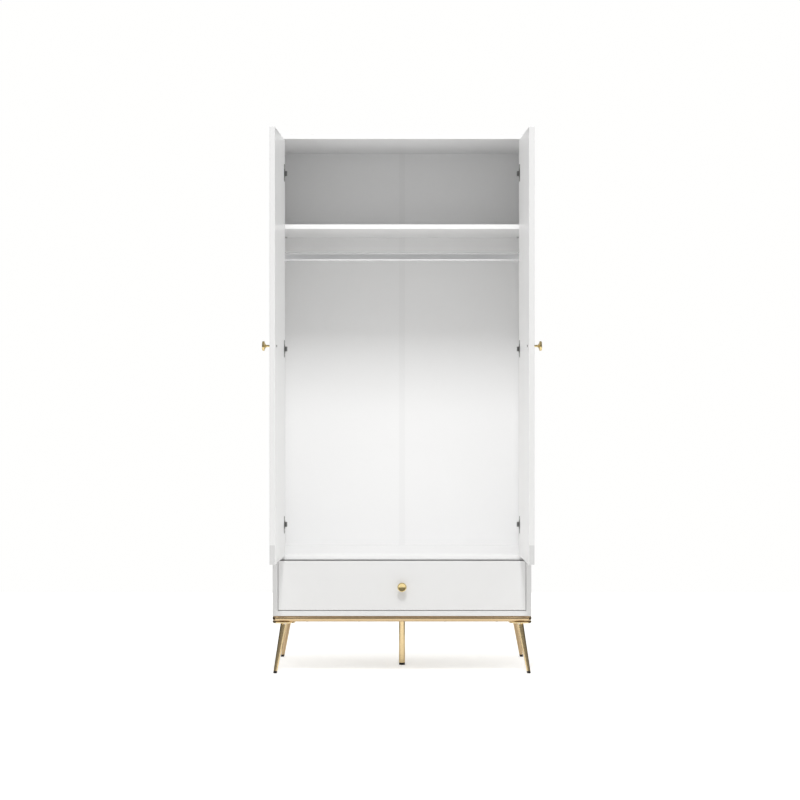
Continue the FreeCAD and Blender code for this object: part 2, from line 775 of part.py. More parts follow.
def back_joint_strip():
    """An H-section strip that joins the two halves of the back."""
    low = bottom_top + back_end_inset
    high = height - back_end_inset
    web = block(-back_strip_web / 2, back_strip_web / 2, back_front_y, back_rear_y, low, high)
    front = block(-strip_half, strip_half, back_front_y - back_strip_thickness, back_front_y, low, high)
    rear = block(-strip_half, strip_half, back_rear_y, back_rear_y + back_strip_thickness, low, high)
    return web.fuse([front, rear]).removeSplitter()


# ---- Write every piece ---------------------------------------------------------------------
os.makedirs("parts", exist_ok=True)

left_side = side_panel()
save("side_left", [left_side])
save("side_right", [mirrored(left_side)])
save("top_panel", [fixed_board(front_y, back_front_y, top_underside, top_thickness)])
save("bottom_board", [bottom_board()])
save("divider_panel", [fixed_board(front_y + divider_setback, back_front_y, divider_bottom,
                                   divider_thickness)])
save("hat_shelf", [hat_shelf()])
save("back_left", [back_half()])
save("back_right", [mirrored(back_half())])
save("back_joint_strip", [back_joint_strip()])
save("carcass_cams", both_sides(cams))
save("cam_bolts", both_sides(cam_bolts))
save("carcass_dowels", both_sides(dowels))
save("shelf_pins", both_sides(pins))
save("back_nails", nails)

save("hanging_rail", [hanging_rail()])
save("rail_socket_left", [rail_socket()])
save("rail_socket_right", [mirrored(rail_socket())])
save("rail_socket_screws", both_sides(socket_screws()))

inner_diameter = frame_tube_diameter - 2 * frame_tube_wall
side_rail_half = tube_y - frame_bend_radius
cross_bars = {side: cross_rail_bar(side, frame_tube_diameter) for side in (-1, 1)}
side_bars = {side: side_rail_bar(side * tube_x, frame_tube_diameter, side_rail_half) for side in (-1, 1)}
leg_screws = flange_screws()
board_screws = frame_screws()
for side, name in ((-1, "front"), (1, "back")):
    rail = cross_bars[side].cut(cross_rail_bar(side, inner_diameter))
    save("base_rail_" + name, [cut_all(rail, leg_screws + board_screws)])
for side, name in ((-1, "left"), (1, "right")):
    rail = side_bars[side].cut(side_rail_bar(side * tube_x, inner_diameter, side_rail_half))
    save("base_rail_" + name, [cut_all(rail, leg_screws)])
crossbar = side_rail_bar(0, frame_tube_diameter, tube_y).cut(side_rail_bar(0, inner_diameter, tube_y))
save("base_crossbar", [cut_all(crossbar, list(cross_bars.values()) + leg_screws)])
frame_bars = list(cross_bars.values()) + list(side_bars.values())
for side_x, name_x in ((-1, "left"), (1, "right")):
    for side_y, name_y in ((-1, "front"), (1, "back")):
        save("leg_" + name_y + "_" + name_x, [corner_leg(side_x, side_y, frame_bars, leg_screws)])
save("centre_leg", [centre_leg([side_rail_bar(0, frame_tube_diameter, tube_y)], leg_screws)])
save("leg_feet", [corner_foot(side_x, side_y) for side_x in (-1, 1) for side_y in (-1, 1)])
save("centre_foot", [centre_foot()])
save("flange_screws", leg_screws)
save("frame_screws", board_screws)

left_door = opened([door_panel()])
left_knob = opened([knob(door_knob_base, OUT)])
left_knob_screw = opened([knob_screw(door_knob_base, OUT, door_thickness)])
left_cups = opened([hinge_cup(z) for z in hinge_heights])
left_cup_screws = opened([one for z in hinge_heights for one in cup_screws(z)])
for node, shapes in (("door_", left_door), ("door_knob_", left_knob),
                     ("door_knob_screw_", left_knob_screw), ("hinge_cups_", left_cups),
                     ("cup_screws_", left_cup_screws)):
    save(node + "left", shapes)
    save(node + "right", [mirrored(shape) for shape in shapes])
save("hinge_arms", both_sides([hinge_arm(z) for z in hinge_heights]))
save("hinge_plates", both_sides([hinge_plate(z) for z in hinge_heights]))
save("hinge_pins", both_sides([hinge_pin(z) for z in hinge_heights]))
save("hinge_screws", both_sides([one for z in hinge_heights for one in plate_screws(z) + [arm_screw(z)]]))

save("drawer_front", [drawer_front()])
save("drawer_side_left", [drawer_side()])
save("drawer_side_right", [mirrored(drawer_side())])
save("drawer_back", [drawer_back()])
save("drawer_bottom", [drawer_bottom_sheet()])
save("drawer_fixings", both_sides(drawer_fixings()))
save("drawer_knob", [knob(drawer_knob_base, OUT)])
save("drawer_knob_screw", [knob_screw(drawer_knob_base, OUT, drawer_front_thickness)])
for node, member in zip(("runner_cabinet_", "runner_middle_", "runner_drawer_"), runner()):
    save(node + "left", [member])
    save(node + "right", [mirrored(member)])
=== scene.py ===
import math

import bmesh
import bpy
import numpy as np
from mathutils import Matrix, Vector


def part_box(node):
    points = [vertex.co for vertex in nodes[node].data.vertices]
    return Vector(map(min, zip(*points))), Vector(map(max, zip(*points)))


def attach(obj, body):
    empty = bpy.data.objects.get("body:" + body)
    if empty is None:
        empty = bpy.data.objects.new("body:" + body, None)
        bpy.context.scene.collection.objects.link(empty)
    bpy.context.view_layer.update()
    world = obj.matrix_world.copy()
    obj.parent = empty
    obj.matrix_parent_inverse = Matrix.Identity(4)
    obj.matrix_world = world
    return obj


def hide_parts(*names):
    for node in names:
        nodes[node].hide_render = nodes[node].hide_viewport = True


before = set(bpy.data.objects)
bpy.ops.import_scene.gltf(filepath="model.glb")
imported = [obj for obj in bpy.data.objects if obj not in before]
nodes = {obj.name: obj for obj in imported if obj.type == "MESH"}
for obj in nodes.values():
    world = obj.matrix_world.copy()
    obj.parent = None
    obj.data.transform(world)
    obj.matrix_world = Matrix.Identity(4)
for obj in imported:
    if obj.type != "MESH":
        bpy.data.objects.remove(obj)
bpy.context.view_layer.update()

# ---- Base frame: front and back rails ------------------------------------------------------
# Two 20 mm round steel tubes, each bent a quarter turn at both ends so that the side rails can be
# welded on in line. The whole frame is polished and plated in a warm gold colour.


def new_group(name, inputs, outputs):
    """A shader node group with named sockets; returns its tree, input node and output node."""
    tree = bpy.data.node_groups.new(name, "ShaderNodeTree")
    for label, kind, value in inputs:
        made = tree.interface.new_socket(name=label, in_out="INPUT", socket_type="NodeSocket" + kind)
        made.default_value = value
    for label, kind in outputs:
        tree.interface.new_socket(name=label, in_out="OUTPUT", socket_type="NodeSocket" + kind)
    return tree, tree.nodes.new("NodeGroupInput"), tree.nodes.new("NodeGroupOutput")


def add(tree, kind, sources=(), **settings):
    """A node with its settings; each source, a link or a value, goes to the socket it names."""
    made = tree.nodes.new("ShaderNode" + kind)
    for key, value in settings.items():
        setattr(made, key, value)
    for socket, value in dict(sources).items():
        if isinstance(value, bpy.types.NodeSocket):
            tree.links.new(value, made.inputs[socket])
        else:
            made.inputs[socket].default_value = value
    return made


def plated_skin():
    """Plated metal: colour times (1 + drift), polish marks as fine noise stretched along Z."""
    tree, given, result = new_group(
        "plated_skin",
        (("Colour", "Color", (0.8, 0.6, 0.3, 1)), ("Drift", "Float", 0.05),
         ("Roughness", "Float", 0.2), ("Marks", "Float", 900.0)),
        (("Colour", "Color"), ("Roughness", "Float"), ("Height", "Float")))
    place = add(tree, "TexCoord").outputs["Object"]
    cloud = add(tree, "TexNoise", {"Vector": place, "Scale": 9.0, "Detail": 3.0}).outputs["Fac"]
    stretch = add(tree, "Mapping", {"Vector": place, "Scale": (1.0, 1.0, 0.08)}).outputs["Vector"]
    marks = add(tree, "TexNoise", {"Vector": stretch, "Scale": given.outputs["Marks"],
                                   "Detail": 2.0}).outputs["Fac"]
    shift = add(tree, "Math", {0: cloud, 1: 0.5}, operation="SUBTRACT").outputs[0]
    gain = add(tree, "Math", {0: shift, 1: given.outputs["Drift"], 2: 1.0},
               operation="MULTIPLY_ADD").outputs[0]
    tint = add(tree, "VectorMath", {0: given.outputs["Colour"], "Scale": gain},
               operation="SCALE").outputs["Vector"]
    smear = add(tree, "Math", {0: shift, 1: 0.10, 2: given.outputs["Roughness"]},
                operation="MULTIPLY_ADD").outputs[0]
    rough = add(tree, "Math", {0: marks, 1: 0.05, 2: smear}, operation="MULTIPLY_ADD").outputs[0]
    tree.links.new(tint, result.inputs["Colour"])
    tree.links.new(rough, result.inputs["Roughness"])
    tree.links.new(marks, result.inputs["Height"])
    return tree


def skinned(name, skin, bump, metallic=0.0, **inputs):
    """A material whose colour, roughness and bump height come from a skin group."""
    material = bpy.data.materials.new(name)
    material.use_nodes = True
    tree = material.node_tree
    shader = tree.nodes["Principled BSDF"]
    coat = inputs.pop("coat", None)
    group = add(tree, "Group", inputs, node_tree=skin)
    relief = add(tree, "Bump", {"Height": group.outputs["Height"], "Distance": bump, "Strength": 0.5})
    tree.links.new(group.outputs["Colour"], shader.inputs["Base Color"])
    tree.links.new(group.outputs["Roughness"], shader.inputs["Roughness"])
    tree.links.new(relief.outputs["Normal"], shader.inputs["Normal"])
    shader.inputs["Metallic"].default_value = metallic
    if coat:
        shader.inputs["Coat Weight"].default_value = coat
        shader.inputs["Coat Roughness"].default_value = 0.12
    return material


plated = plated_skin()
# A darker copy of the gold plating for the rails and rear legs: the darkening is painted shade.
gold_painted_shade = skinned("gold_painted_shade", plated, 0.00002, 1.0, Colour=(0.74, 0.55, 0.33, 1), Drift=0.10,
                    Roughness=0.18, Marks=700.0)


def piece_from_grids(name, grids, material, sharp=35.0):
    """One object from grids of points, rows by columns by 3, wrapped round their columns.

    Row steps run along the axis and column steps turn by the right hand about it, so the
    faces look outwards. Rows of equal points are poles, and are merged to one vertex.
    """
    points, quads, start = [], [], 0
    for grid in grids:
        rows, columns = grid.shape[:2]
        index = start + np.arange(rows * columns).reshape(rows, columns)
        beside = np.roll(index, -1, axis=1)
        quads.append(np.stack([index[:-1], beside[:-1], beside[1:], index[1:]], -1).reshape(-1, 4))
        points.append(grid.reshape(-1, 3))
        start += rows * columns
    mesh = bpy.data.meshes.new(name)
    mesh.from_pydata(np.concatenate(points).tolist(), [], np.concatenate(quads).tolist())
    shape = bmesh.new()
    shape.from_mesh(mesh)
    bmesh.ops.remove_doubles(shape, verts=shape.verts, dist=1e-6)
    shape.to_mesh(mesh)
    shape.free()
    mesh.shade_smooth()
    mesh.set_sharp_from_angle(angle=math.radians(sharp))
    mesh.materials.append(material)
    made = bpy.data.objects.new(name, mesh)
    bpy.context.scene.collection.objects.link(made)
    return made


def turned(profile, base, axis, columns=48):
    """A turned surface: base + height * axis + radius * (cos a * u + sin a * v), a round the axis.

    profile holds (radius, height) rows, and u, v and the axis are a right-handed set.
    """
    axis = np.asarray(axis, float) / np.linalg.norm(axis)
    helper = np.array([0.0, 0.0, 1.0]) if abs(axis[2]) < 0.9 else np.array([1.0, 0.0, 0.0])
    u = np.cross(helper, axis)
    u /= np.linalg.norm(u)
    v = np.cross(axis, u)
    angle = np.linspace(0, 2 * math.pi, columns, endpoint=False)
    ring = np.cos(angle)[:, None] * u + np.sin(angle)[:, None] * v
    radius, height = np.asarray(profile, float).T
    return np.asarray(base) + height[:, None, None] * axis + radius[:, None, None] * ring


def tube_along(path, radius, columns=32):
    """A round tube along a level path: centre + radius * (cos a * side + sin a * up), ends closed."""
    path = np.asarray(path, float)
    run = np.gradient(path, axis=0)
    run /= np.linalg.norm(run, axis=1)[:, None]
    up = np.array([0.0, 0.0, 1.0])
    side = np.cross(up, run)
    angle = np.linspace(0, 2 * math.pi, columns, endpoint=False)
    ring = np.cos(angle)[None, :, None] * side[:, None] + np.sin(angle)[None, :, None] * up
    wall = path[:, None] + radius * ring
    first = np.repeat(path[:1, None], columns, axis=1)
    last = np.repeat(path[-1:, None], columns, axis=1)
    return np.concatenate([first, wall, last])


frame_low, frame_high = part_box("base_rail_front")
rear_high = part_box("base_rail_back")[1]
tube_radius = (frame_high.z - frame_low.z) / 2
tube_z = (frame_high.z + frame_low.z) / 2
tube_x = frame_high.x - tube_radius
tube_y = rear_high.y - tube_radius
bend_radius = 0.020
stop_short = 0.6  # the crossbar ends this many tube radii before the axes of the cross rails


def cross_rail_path(side):
    """Straight along X between two quarter arcs of the bend radius, which turn towards Y = 0."""
    turn = np.linspace(0, math.pi / 2, 13)
    straight = tube_x - bend_radius
    arc_x = straight + bend_radius * np.sin(turn)
    arc_y = side * (tube_y - bend_radius * (1 - np.cos(turn)))
    x = np.concatenate([-arc_x[::-1], arc_x])
    y = np.concatenate([arc_y[::-1], arc_y])
    return np.stack([x, y, np.full_like(x, tube_z)], axis=1)


for side, node in ((-1, "base_rail_front"), (1, "base_rail_back")):
    rail = piece_from_grids(node + "_tube", [tube_along(cross_rail_path(side), tube_radius)], gold_painted_shade)
    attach(rail, "carcass")
    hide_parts(node)

# ---- Base frame: side rails, crossbar and weld beads ---------------------------------------
# Straight lengths of the same tube. Each joint carries a low ground-back weld bead, and the
# crossbar from front to back holds the middle leg.
side_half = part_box("base_rail_left")[1].y
for node, x in (("base_rail_left", -tube_x), ("base_rail_right", tube_x)):
    path = [(x, y, tube_z) for y in np.linspace(-side_half, side_half, 9)]
    rail = piece_from_grids(node + "_tube", [tube_along(path, tube_radius)], gold_painted_shade)
    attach(rail, "carcass")
    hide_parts(node)
bar_reach = tube_y - tube_radius * stop_short
path = [(0, y, tube_z) for y in np.linspace(-bar_reach, bar_reach, 9)]
crossbar = piece_from_grids("base_crossbar_tube", [tube_along(path, tube_radius * 0.995)], gold_painted_shade)
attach(crossbar, "carcass")
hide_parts("base_crossbar")


def weld_bead(centre, axis, tube, height=0.0007, half_width=0.0022):
    """A low bead round a tube: radius = tube + height * cos^2, rippled a little round the seam."""
    along = np.linspace(-1, 1, 9)
    hump = height * np.cos(along * math.pi / 2) ** 2
    profile = np.stack([tube - 0.0004 + hump, along * half_width], axis=1)
    grid = turned(profile, centre, axis, columns=64)
    ripple = 1 + 0.004 * np.sin(np.arange(64) * 2.4)
    middle = np.asarray(centre)
    return middle + (grid - middle) * ripple[None, :, None]


beads = [weld_bead((x * tube_x, y * side_half, tube_z), (0, 1, 0), tube_radius)
         for x in (-1, 1) for y in (-1, 1)]
beads += [weld_bead((0, y * (tube_y - tube_radius * 0.93), tube_z), (0, 1, 0), tube_radius)
          for y in (-1, 1)]
welds = piece_from_grids("frame_weld_beads", beads, gold_painted_shade)
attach(welds, "carcass")

# ---- Corner legs ---------------------------------------------------------------------------
# Four tapered steel tubes, splayed outwards and forwards or backwards, each welded to a round
# flange that seats under the corner of the frame. They are plated like the frame. The front ones and
# the middle leg take the paler gold; the rear ones take the rails' darker copy, which is painted shade.
centre_foot_low, centre_foot_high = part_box("centre_foot")
foot_height = 0.008
leg_low, leg_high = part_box("leg_front_right")
flange_radius = 0.040
flange_edge = 0.0012
flange_thickness = 0.006
flange_press = 0.0002  # the flange is drawn this far into the tube, so that no slit shows
flange_bottom = tube_z - tube_radius - flange_thickness
leg_top = np.array([leg_low.x + flange_radius,
                    leg_high.y - flange_radius, flange_bottom])
leg_splay = 0.030
leg_top_radius = 0.0115
leg_foot_radius = 0.0065
fillet_height = 0.003
fillet_width = 0.0022
gold_leg = skinned("gold_leg", plated, 0.00002, 1.0, Colour=(0.95, 0.745, 0.43, 1), Drift=0.10,
                   Roughness=0.16, Marks=700.0)


def rounded_disc(radius, low, high, edge, hole=0.0):
    """A disc's section from its lower middle to its upper middle, with quarter-round edges."""
    turn = np.linspace(0, math.pi / 2, 5)
    lower = np.stack([radius - edge + edge * np.sin(turn), low + edge * (1 - np.cos(turn))], 1)
    upper = np.stack([radius - edge + edge * np.cos(turn), high - edge * (1 - np.sin(turn))], 1)
    return np.concatenate([[(hole, low)], lower, upper, [(hole, high)]])


def leg_bar(sign_x, sign_y, low, high, shrink=0.0):
    """Rings between two heights: the centre moves out evenly and the radius tapers evenly.

    Near the flange a weld fillet widens the last rings: radius + fillet * (1 - sqrt(1 - s^2)).
    """
    top = leg_top * (sign_x, -sign_y, 1)
    shoulder = high - fillet_height
    z = np.concatenate([np.linspace(low, shoulder, 14), shoulder + fillet_height * np.linspace(0.2, 1, 5)])
    share = (flange_bottom - z) / flange_bottom
    radius = leg_top_radius + (leg_foot_radius - leg_top_radius) * share - shrink
    near = np.clip((z - flange_bottom + fillet_height) / fillet_height, 0, 1)
    radius = radius + fillet_width * (1 - np.sqrt(1 - near ** 2))
    centre = np.stack([top[0] + sign_x * leg_splay * share, top[1] + sign_y * leg_splay * share, z], 1)
    angle = np.linspace(0, 2 * math.pi, 40, endpoint=False)
    ring = np.stack([np.cos(angle), np.sin(angle), np.zeros(40)], 1)
    wall = centre[:, None] + radius[:, None, None] * ring
    return np.concatenate([np.repeat(centre[:1, None], 40, 1), wall, np.repeat(centre[-1:, None], 40, 1)])


for sign_x, name_x in ((-1, "left"), (1, "right")):
    for sign_y, name_y in ((-1, "front"), (1, "back")):
        node = "leg_" + name_y + "_" + name_x
        top = leg_top * (sign_x, -sign_y, 1)
        section = rounded_disc(flange_radius, 0, flange_thickness + flange_press, flange_edge)
        plate = turned(section, top, (0, 0, 1), 96)
        # The rear legs take the darker gold, which is painted shade.
        leg = piece_from_grids(node + "_tapered", [leg_bar(sign_x, sign_y, foot_height, flange_bottom),
                                                   plate], gold_leg if sign_y < 0 else gold_painted_shade)
        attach(leg, "carcass")
        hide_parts(node)

# ---- Middle leg ----------------------------------------------------------------------------
# A straight tube on a smaller flange, screwed up against the crossbar so that the bottom board
# can't sag.
centre_radius = (centre_foot_high.x - centre_foot_low.x) / 2
shoulder = flange_bottom - fillet_height
bar = [(0, foot_height), (centre_radius, foot_height), (centre_radius, shoulder)]
bar += [(centre_radius + fillet_width * (1 - math.sqrt(1 - s * s)), shoulder + fillet_height * s)
        for s in np.linspace(0, 1, 6)[1:]]
bar += [(0, flange_bottom)]
centre_flange_radius = 0.030
disc = rounded_disc(centre_flange_radius, flange_bottom,
                    flange_bottom + flange_thickness + flange_press, flange_edge)
middle_leg = piece_from_grids("centre_leg_tube", [turned(bar, (0, 0, 0), (0, 0, 1)),
                                                  turned(disc, (0, 0, 0), (0, 0, 1), 72)], gold_leg)
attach(middle_leg, "carcass")
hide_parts("centre_leg")

# ---- Feet ----------------------------------------------------------------------------------
# Moulded black glides that plug into the legs. Each carries on its leg's line and is scuffed pale
# in patches where it slides on the floor; the one under the middle leg has slightly rounded edges.


def moulded_skin():
    """Moulded plastic: fine erosion texture as height, paler scuffs in patches near the floor."""
    tree, given, result = new_group(
        "moulded_skin",
        (("Colour", "Color", (0.02, 0.02, 0.02, 1)), ("Scuff", "Color", (0.10, 0.10, 0.10, 1)),
         ("Scuff top", "Float", 0.003), ("Roughness", "Float", 0.5), ("Grain", "Float", 1800.0)),
        (("Colour", "Color"), ("Roughness", "Float"), ("Height", "Float")))
    place = add(tree, "TexCoord").outputs["Object"]
    height = add(tree, "SeparateXYZ", {0: place}).outputs["Z"]
    grain = add(tree, "TexNoise", {"Vector": place, "Scale": given.outputs["Grain"],
                                   "Detail": 3.0}).outputs["Fac"]
    patch = add(tree, "TexNoise", {"Vector": place, "Scale": 220.0, "Detail": 4.0}).outputs["Fac"]
    near = add(tree, "MapRange", {"Value": height, "From Min": given.outputs["Scuff top"],
                                  "From Max": 0.0}).outputs["Result"]
    mask = add(tree, "Math", {0: near, 1: patch}, operation="MULTIPLY").outputs[0]
    blend = tree.nodes.new("ShaderNodeMix")
    blend.data_type = "RGBA"
    tree.links.new(mask, blend.inputs["Factor"])
    tree.links.new(given.outputs["Colour"], blend.inputs[6])
    tree.links.new(given.outputs["Scuff"], blend.inputs[7])
    rough = add(tree, "Math", {0: grain, 1: 0.2, 2: given.outputs["Roughness"]},
                operation="MULTIPLY_ADD").outputs[0]
    tree.links.new(blend.outputs[2], result.inputs["Colour"])
    tree.links.new(rough, result.inputs["Roughness"])
    tree.links.new(grain, result.inputs["Height"])
    return tree


moulded = moulded_skin()
black_plastic = skinned("black_plastic", moulded, 0.00004, Colour=(0.018, 0.018, 0.019, 1))
feet = [leg_bar(x, y, 0.0, foot_height + 0.001, 0.0001) for x in (-1, 1) for y in (-1, 1)]
glides = piece_from_grids("leg_glides", feet, black_plastic)
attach(glides, "carcass")
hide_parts("leg_feet")
pad = rounded_disc(centre_radius, 0, foot_height, 0.0012)
middle_glide = piece_from_grids("centre_glide", [turned(pad, (0, 0, 0), (0, 0, 1))], black_plastic)
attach(middle_glide, "carcass")
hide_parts("centre_foot")

# ---- Carcass boards ------------------------------------------------------------------------
# Sides, top, bottom board, divider and hat shelf are 18 and 16 mm fibreboard, sprayed in a white
# satin lacquer. It lies with a faint orange peel and a hardly visible drift in tone. The front
# edges of the sides and of the bottom board are painted a tone greyer, as are the upper faces of
# these boards and of the top: painted shade.


def lacquer_skin():
    """Sprayed lacquer: colour times (1 + drift * cloud), orange peel as height, soft sheen drift."""
    tree, given, result = new_group(
        "lacquer_skin",
        (("Colour", "Color", (0.8, 0.8, 0.8, 1)), ("Drift", "Float", 0.02),
         ("Roughness", "Float", 0.35), ("Peel", "Float", 260.0)),
        (("Colour", "Color"), ("Roughness", "Float"), ("Height", "Float")))
    place = add(tree, "TexCoord").outputs["Object"]
    cloud = add(tree, "TexNoise", {"Vector": place, "Scale": 2.2, "Detail": 2.0}).outputs["Fac"]
    fine = add(tree, "TexNoise", {"Vector": place, "Scale": 40.0, "Detail": 2.0}).outputs["Fac"]
    peel = add(tree, "TexNoise", {"Vector": place, "Scale": given.outputs["Peel"],
                                  "Detail": 1.5}).outputs["Fac"]
    both = add(tree, "Math", {0: fine, 1: 0.35, 2: cloud}, operation="MULTIPLY_ADD").outputs[0]
    shift = add(tree, "Math", {0: both, 1: 0.675}, operation="SUBTRACT").outputs[0]
    gain = add(tree, "Math", {0: shift, 1: given.outputs["Drift"], 2: 1.0},
               operation="MULTIPLY_ADD").outputs[0]
    tint = add(tree, "VectorMath", {0: given.outputs["Colour"], "Scale": gain},
               operation="SCALE").outputs["Vector"]
    rough = add(tree, "Math", {0: shift, 1: 0.15, 2: given.outputs["Roughness"]},
                operation="MULTIPLY_ADD").outputs[0]
    tree.links.new(tint, result.inputs["Colour"])
    tree.links.new(rough, result.inputs["Roughness"])
    tree.links.new(peel, result.inputs["Height"])
    return tree


def painted_shade_skin(lacquered):
    """Lacquer times painted shade: for faces to -Y (edges), away from X = 0 (outer) and to +Z (upper).

    Edges take a second tone below the height "Foot top". All of it is as the bodies lie at rest.
    """
    tree, given, result = new_group(
        "painted_shade_skin",
        (("Colour", "Color", (0.8, 0.8, 0.8, 1)), ("Edge shade", "Float", 0.85),
         ("Foot tone", "Float", 1.0), ("Foot top", "Float", 0.0), ("Outer shade", "Float", 1.0),
         ("Upper shade", "Float", 0.76), ("Roughness", "Float", 0.35), ("Peel", "Float", 260.0)),
        (("Colour", "Color"), ("Roughness", "Float"), ("Height", "Float")))
    coat = add(tree, "Group", {"Colour": given.outputs["Colour"], "Drift": 0.03,
                               "Roughness": given.outputs["Roughness"],
                               "Peel": given.outputs["Peel"]}, node_tree=lacquered)
    where = add(tree, "TexCoord")
    facing = add(tree, "SeparateXYZ", {0: where.outputs["Normal"]})
    turned_front = facing.outputs["Y"]
    spot = add(tree, "SeparateXYZ", {0: where.outputs["Object"]})
    height = spot.outputs["Z"]
    edge = add(tree, "MapRange", {"Value": turned_front, "From Min": -0.5, "From Max": -0.9,
                                  "To Min": 1.0}).outputs["Result"]
    tree.links.new(given.outputs["Edge shade"], edge.node.inputs["To Max"])
    below = add(tree, "Math", {0: given.outputs["Foot top"], 1: height}, operation="SUBTRACT").outputs[0]
    low = add(tree, "MapRange", {"Value": below, "From Min": 0.0, "From Max": 0.001,
                                 "To Min": 1.0}).outputs["Result"]
    tree.links.new(given.outputs["Foot tone"], low.node.inputs["To Max"])
    front_only = add(tree, "MapRange", {"Value": turned_front, "From Min": -0.5, "From Max": -0.9}
                     ).outputs["Result"]
    foot = tree.nodes.new("ShaderNodeMix")
    foot.inputs["A"].default_value = 1.0
    tree.links.new(front_only, foot.inputs["Factor"])
    tree.links.new(low, foot.inputs["B"])
    away = add(tree, "Math", {0: facing.outputs["X"], 1: spot.outputs["X"]},
               operation="MULTIPLY").outputs[0]
    outer = add(tree, "MapRange", {"Value": away, "From Min": 0.0, "From Max": 0.1,
                                   "To Min": 1.0}).outputs["Result"]
    tree.links.new(given.outputs["Outer shade"], outer.node.inputs["To Max"])
    upper = add(tree, "MapRange", {"Value": facing.outputs["Z"], "From Min": 0.5, "From Max": 0.9,
                                   "To Min": 1.0}).outputs["Result"]
    tree.links.new(given.outputs["Upper shade"], upper.node.inputs["To Max"])
    # The edge, upper and outer bands are painted shade; with the foot band they multiply into one factor.
    rim = add(tree, "Math", {0: edge, 1: foot.outputs["Result"]}, operation="MULTIPLY").outputs[0]
    skyward = add(tree, "Math", {0: rim, 1: upper}, operation="MULTIPLY").outputs[0]
    tone = add(tree, "Math", {0: skyward, 1: outer}, operation="MULTIPLY").outputs[0]
    tint = add(tree, "VectorMath", {0: coat.outputs["Colour"], "Scale": tone},
               operation="SCALE").outputs["Vector"]
    tree.links.new(tint, result.inputs["Colour"])
    tree.links.new(coat.outputs["Roughness"], result.inputs["Roughness"])
    tree.links.new(coat.outputs["Height"], result.inputs["Height"])
    return tree


def clothe(material, *names):
    """Give CAD nodes one material in place of the plain one that they arrive with."""
    for name in names:
        nodes[name].material_slots[0].material = material


lacquer = lacquer_skin()
white_board = skinned("white_board_lacquer", lacquer, 0.00003, Colour=(0.90, 0.90, 0.90, 1),
                      Drift=0.03, Roughness=0.36, Peel=320.0)
clothe(white_board, "divider_panel", "hat_shelf")
banded = painted_shade_skin(lacquer)
# Sides and bottom board: the greyer front edges and upper faces are painted shade.
painted_shade_board = skinned("painted_shade_board_lacquer", banded, 0.00003, **{
    "Colour": (0.90, 0.90, 0.90, 1), "Edge shade": 0.82, "Roughness": 0.36, "Peel": 320.0})
clothe(painted_shade_board, "side_left", "side_right", "bottom_board")
# The top: the greyer upper face and the slightly greyer front edge are painted shade.
top_board = skinned("top_board_lacquer", banded, 0.00003, **{
    "Colour": (0.90, 0.90, 0.90, 1), "Edge shade": 0.97, "Roughness": 0.36, "Peel": 320.0})
clothe(top_board, "top_panel")

# ---- Back ----------------------------------------------------------------------------------
# Two sheets of 3 mm hardboard with a white printed face, joined by an H-section plastic strip and
# nailed to the boards. Thin sheet never lies quite flat, so it has a long shallow waviness.


def sheet_skin():
    """Printed hardboard: paper-fibre speckle in the tone, long waves plus speckle as height."""
    tree, given, result = new_group(
        "sheet_skin",
        (("Colour", "Color", (0.8, 0.8, 0.8, 1)), ("Speckle", "Float", 0.03),
         ("Roughness", "Float", 0.55), ("Waves", "Float", 3.0)),
        (("Colour", "Color"), ("Roughness", "Float"), ("Height", "Float")))
    place = add(tree, "TexCoord").outputs["Object"]
    fibre = add(tree, "TexNoise", {"Vector": place, "Scale": 420.0, "Detail": 4.0}).outputs["Fac"]
    wave = add(tree, "TexNoise", {"Vector": place, "Scale": given.outputs["Waves"],
                                  "Detail": 0.0}).outputs["Fac"]
    shift = add(tree, "Math", {0: fibre, 1: 0.5}, operation="SUBTRACT").outputs[0]
    gain = add(tree, "Math", {0: shift, 1: given.outputs["Speckle"], 2: 1.0},
               operation="MULTIPLY_ADD").outputs[0]
    tint = add(tree, "VectorMath", {0: given.outputs["Colour"], "Scale": gain},
               operation="SCALE").outputs["Vector"]
    rough = add(tree, "Math", {0: shift, 1: 0.2, 2: given.outputs["Roughness"]},
                operation="MULTIPLY_ADD").outputs[0]
    relief = add(tree, "Math", {0: wave, 1: 40.0, 2: fibre}, operation="MULTIPLY_ADD").outputs[0]
    tree.links.new(tint, result.inputs["Colour"])
    tree.links.new(rough, result.inputs["Roughness"])
    tree.links.new(relief, result.inputs["Height"])
    return tree


sheet = sheet_skin()
white_sheet = skinned("white_hardboard", sheet, 0.00002, Colour=(0.93, 0.93, 0.93, 1))
clothe(white_sheet, "back_left", "back_right", "drawer_bottom")
strip_plastic = skinned("white_strip_plastic", moulded, 0.00002, Colour=(0.90, 0.90, 0.90, 1),
                        Scuff=(0.85, 0.85, 0.85, 1), Roughness=0.40, Grain=600.0)
clothe(strip_plastic, "back_joint_strip")
nail_steel = skinned("nail_steel", plated, 0.00002, 1.0, Colour=(0.55, 0.55, 0.56, 1), Roughness=0.4)
clothe(nail_steel, "back_nails")

# ---- Hidden fittings -----------------------------------------------------------------------
# Die-cast cams that lie flush in the boards, steel cam bolts, beech dowels and steel shelf pins.
# The boards are drilled for them, and they are turned tight with a screwdriver.
cast_zinc = skinned("cast_zinc", plated, 0.00006, 1.0, Colour=(0.60, 0.60, 0.61, 1), Roughness=0.42,
                    Marks=300.0)
clothe(cast_zinc, "carcass_cams")
bright_steel = skinned("bright_steel", plated, 0.00002, 1.0, Colour=(0.66, 0.66, 0.655, 1),
                       Roughness=0.26)
clothe(bright_steel, "cam_bolts", "shelf_pins", "frame_screws", "flange_screws")


